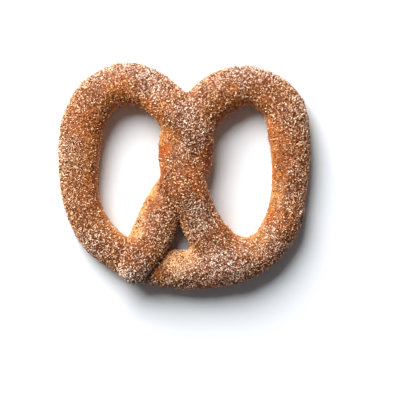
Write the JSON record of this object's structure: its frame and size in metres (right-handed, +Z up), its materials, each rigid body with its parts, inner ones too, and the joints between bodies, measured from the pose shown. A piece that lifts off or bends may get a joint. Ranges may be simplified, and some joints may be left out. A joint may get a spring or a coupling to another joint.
{
  "type": "soft pretzel",
  "caption": "Soft pretzel: a thick rope of dough looped, twisted and folded back over its belly, golden brown, coated in cinnamon sugar, with a flat underside.",
  "frame": {"origin": "middle of the pretzel's box, on the surface that it lies on", "axes": "+X across both lobes, +Y from the belly to the lobes, +Z up"},
  "size_m": [0.1394, 0.125, 0.0274],
  "materials": {
    "crust": "baked golden-brown crust, redder along the twist and paler low on the sides, dusted with cinnamon",
    "sugar": "granulated sugar crystals, clear white to amber where cinnamon sticks to them, with sparkling faces"
  },
  "bodies": {
    "root": {"pretzel": "crust"}
  },
  "joints": []
}
